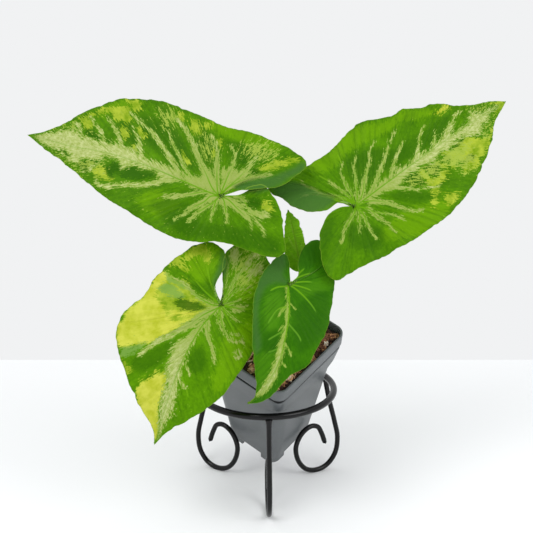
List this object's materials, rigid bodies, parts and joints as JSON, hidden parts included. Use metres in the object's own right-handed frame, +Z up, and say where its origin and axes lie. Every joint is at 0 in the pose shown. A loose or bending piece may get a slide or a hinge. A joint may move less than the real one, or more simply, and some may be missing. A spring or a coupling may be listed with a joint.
{
  "type": "potted arrowhead plant",
  "caption": "Variegated arrowhead plant with broad pointed lobed leaves in a tilted square nursery pot, carried by a black wire ring stand on scrolled legs.",
  "frame": {"origin": "on the surface that the stand's feet rest on, under the middle of the whole plant's box", "axes": "+X to the picture's right along the longest spread of the leaves, +Y away from the viewer towards the back of the tilted pot, +Z up"},
  "size_m": [0.3376, 0.1472, 0.2907],
  "materials": {
    "black_powder_coat": "satin black powder coat over steel wire",
    "grey_pot_plastic": "thin dark grey moulded plastic, satin",
    "bark_potting_mix": "damp crumbly mix of bark chips",
    "green_stalk": "smooth satin light green stalk",
    "variegated_leaf": "satin leaf, mid green with cream and yellow-green variegation",
    "dark_green_leaf": "satin leaf, darker green with a cream midrib"
  },
  "bodies": {
    "root": {"stand_ring": "black_powder_coat", "stand_leg_front": "black_powder_coat", "stand_leg_right": "black_powder_coat", "stand_leg_left": "black_powder_coat", "pot": "grey_pot_plastic", "potting_mix": "bark_potting_mix", "crown": "green_stalk", "petiole_upper_left": "green_stalk", "petiole_upper_right": "green_stalk", "petiole_lower_left": "green_stalk", "petiole_front": "green_stalk", "petiole_young": "green_stalk", "blade_upper_left": "variegated_leaf", "blade_upper_right": "variegated_leaf", "blade_lower_left": "variegated_leaf", "blade_front": "dark_green_leaf", "blade_young": "variegated_leaf"}
  },
  "joints": []
}
